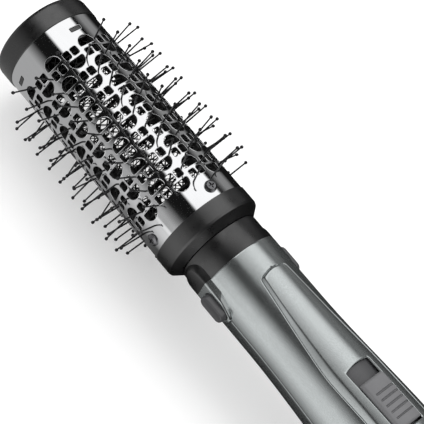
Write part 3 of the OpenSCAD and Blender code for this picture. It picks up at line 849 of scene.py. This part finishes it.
def neck():
    profile = [
        (17.7, NECK_Y0, 0), (NECK_R, NECK_Y0, 0.15), (NECK_R, NECK_Y1, 0.3), (19.6, NECK_Y1, 0.2),
        (19.6, 180, 0.1), (17.7, 180, 0),
    ]
    return lathe("neck_sleeve", profile, "handle", MATERIALS["black_plastic"])


# Kept CAD nodes get their material and smooth shading; dress can also ease their edges, which no call here asks for

KEPT = {node: row["material_slot"] for row in frame["record"]["subparts"] for node in [row["node"]]}


def dress(node, bevel_mm=0.0):
    piece = NODES[node]
    piece.data.materials.clear()
    piece.data.materials.append(MATERIALS[KEPT[node]])
    for polygon in piece.data.polygons:
        polygon.use_smooth = True
    piece.data.set_sharp_from_angle(angle=math.radians(30))
    if bevel_mm:
        bevel = piece.modifiers.new("eased_edges", "BEVEL")
        bevel.width = bevel_mm * MM
        bevel.segments = 2
        bevel.limit_method = "ANGLE"
        bevel.angle_limit = math.radians(40)
        bevel.harden_normals = True


# Camera, floor and lights

def camera():
    data = bpy.data.cameras.new("camera")
    data.sensor_width = 36
    data.lens = 118.9
    data.clip_start, data.clip_end = 0.01, 50
    eye = Vector((-0.3487, 0.055, 0.5112))
    target = Vector((0.0062, 0.206, 0.0043))
    back = (eye - target).normalized()
    axis = Vector((0, 1, 0))
    along = (axis - back * axis.dot(back)).normalized()
    across = along.cross(back)
    tilt = math.radians(40.35)
    right = math.cos(tilt) * across - math.sin(tilt) * along
    up = math.sin(tilt) * across + math.cos(tilt) * along
    piece = bpy.data.objects.new("camera", data)
    bpy.context.scene.collection.objects.link(piece)
    piece.matrix_world = Matrix((
        (right.x, up.x, back.x, eye.x),
        (right.y, up.y, back.y, eye.y),
        (right.z, up.z, back.z, eye.z),
        (0, 0, 0, 1),
    ))
    bpy.context.scene.camera = piece


def plane(name, corners, material):
    mesh = bpy.data.meshes.new(name)
    mesh.from_pydata(corners, [], [(0, 1, 2, 3)])
    piece = bpy.data.objects.new(name, mesh)
    bpy.context.scene.collection.objects.link(piece)
    mesh.materials.append(material)
    return piece


def area_light(name, azimuth, distance, width, length, watts, centre=(0, 0.2, 0)):
    """Softbox whose direction is an angle round the tool's axis from +Z towards +X, facing the tool."""
    data = bpy.data.lights.new(name, "AREA")
    data.shape = "RECTANGLE"
    data.size, data.size_y = width, length
    data.energy = watts
    piece = bpy.data.objects.new(name, data)
    bpy.context.scene.collection.objects.link(piece)
    a = math.radians(azimuth)
    back = Vector((math.sin(a), 0, math.cos(a)))
    across = Vector((math.cos(a), 0, -math.sin(a)))
    along = back.cross(across)
    eye = Vector(centre) + back * distance
    piece.matrix_world = Matrix((
        (across.x, along.x, back.x, eye.x),
        (across.y, along.y, back.y, eye.y),
        (across.z, along.z, back.z, eye.z),
        (0, 0, 0, 1),
    ))
    piece.visible_camera = False
    return piece


# Softboxes in the tent: where each is fully bright, in degrees round the tool's axis from +Z towards +X,
# how bright
# it is, and how many degrees it fades over before and after that
HEAD_SOFTBOXES = ((-160, -80, 0.4, 15, 25), (-20, 40, 1.1, 5, 5), (65, 80, 0.25, 15, 15))
GRIP_SOFTBOXES = ((-100, -75, 1.0, 35, 30), (20, 40, 1.1, 45, 15), (60, 65, 0.15, 4, 20))
CLOTH = 0.008
TENT_POWER = 2.0


def surround(floor_z):
    """Tent that only reflections see: dark cloth with a few softboxes along the head and along the grip."""
    reach, low = 1.2, floor_z + 0.0004
    bm = bmesh.new()
    loops = []
    for y in (-1.4, 2.2):
        loops.append([
            (reach * math.sin(math.radians(a)), y, max(low, reach * math.cos(math.radians(a))))
            for a in range(0, 360, 5)
        ])
    loft_into(bm, loops)
    mesh = bpy.data.meshes.new("surround")
    bm.to_mesh(mesh)
    bm.free()
    material = bpy.data.materials.new("surround")
    material.use_nodes = True
    tree = material.node_tree
    tree.nodes.clear()
    new, link = tree.nodes.new, tree.links.new
    coords, parts = new("ShaderNodeTexCoord"), new("ShaderNodeSeparateXYZ")
    link(coords.outputs["Object"], parts.inputs[0])
    angle = new("ShaderNodeMath")
    angle.operation = "ARCTAN2"
    link(parts.outputs["X"], angle.inputs[0])
    link(parts.outputs["Z"], angle.inputs[1])
    along = map_range(tree, angle.outputs[0], 0.0, 1.0, -math.pi, math.pi)
    mix = new("ShaderNodeMix")
    mix.data_type = "RGBA"
    # reflections that run down to the table meet the tent much nearer to the tool
    ahead = new("ShaderNodeMath")
    ahead.operation = "ADD"
    link(parts.outputs["Y"], ahead.inputs[0])
    link(map_range(tree, angle.outputs[0], 0.2, 0.0, -1.75, -1.54), ahead.inputs[1])
    link(map_range(tree, ahead.outputs[0], 0.0, 1.0, 0.4, 0.5), mix.inputs["Factor"])
    for panels, socket in ((GRIP_SOFTBOXES, "A"), (HEAD_SOFTBOXES, "B")):
        ramp = new("ShaderNodeValToRGB")
        link(along, ramp.inputs[0])
        stops = ramp.color_ramp.elements
        stops[0].color = stops[-1].color = (*[CLOTH / TENT_POWER] * 3, 1)
        for start, end, brightness, fade_in, fade_out in panels:
            for degrees, value in (
                (start - fade_in, CLOTH), (start, brightness), (end, brightness), (end + fade_out, CLOTH),
            ):
                stops.new((degrees + 180) / 360).color = (*[value / TENT_POWER] * 3, 1)
        link(ramp.outputs["Color"], mix.inputs[socket])
    glow, out = new("ShaderNodeEmission"), new("ShaderNodeOutputMaterial")
    link(mix.outputs["Result"], glow.inputs["Color"])
    glow.inputs["Strength"].default_value = TENT_POWER
    link(glow.outputs[0], out.inputs["Surface"])
    material.cycles.emission_sampling = "NONE"
    mesh.materials.append(material)
    piece = bpy.data.objects.new("surround", mesh)
    bpy.context.scene.collection.objects.link(piece)
    piece.visible_camera = piece.visible_diffuse = piece.visible_shadow = piece.visible_transmission = False


def studio():
    floor_z = CAD_BOX[0][2] - 0.0008
    # a faintly lit table, as under a product photograph, which keeps the shadow light
    paper, _, _ = shader(
        "floor_paper", (0.75, 0.75, 0.75), 0.0, 0.9, Specular_IOR_Level=0.0, Emission_Color=(1, 1, 1, 1),
        Emission_Strength=0.27,
    )
    size = 6.0
    corners = [(-size, -size, floor_z), (size, -size, floor_z), (size, size, floor_z), (-size, size, floor_z)]
    plane("floor", corners, paper)
    world = bpy.data.worlds.new("studio")
    bpy.context.scene.world = world
    world.use_nodes = True
    background = world.node_tree.nodes["Background"]
    background.inputs["Color"].default_value = (1, 1, 1, 1)
    background.inputs["Strength"].default_value = 1.0
    world.cycles_visibility.glossy = False
    key = area_light("key_softbox", 35, 1.2, 1.2, 1.6, 9)
    key.visible_glossy = False
    surround(floor_z)
    bpy.context.scene.view_settings.view_transform = "Standard"


camera()
studio()

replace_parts(barrel_sheet(), "barrel")
bristles()
bristle_core()
cap()
case_half("upper_casing", "upper_shell", True)
case_half("lower_casing", "lower_shell", False)
control_panel()
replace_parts(neck(), "neck_ring")
for button_side in (-1, 1):
    button_pod(button_side)
    release_button(button_side)
slide_knob()

REPLACED = {
    "barrel", "bristle_core", "bristle_pins", "rest_pins", "end_cap", "upper_shell", "lower_shell", "control_panel",
    "neck_ring",
    "left_button", "right_button", "slide_knob",
}
for kept_node in sorted(NODES):
    if kept_node not in REPLACED:
        dress(kept_node)
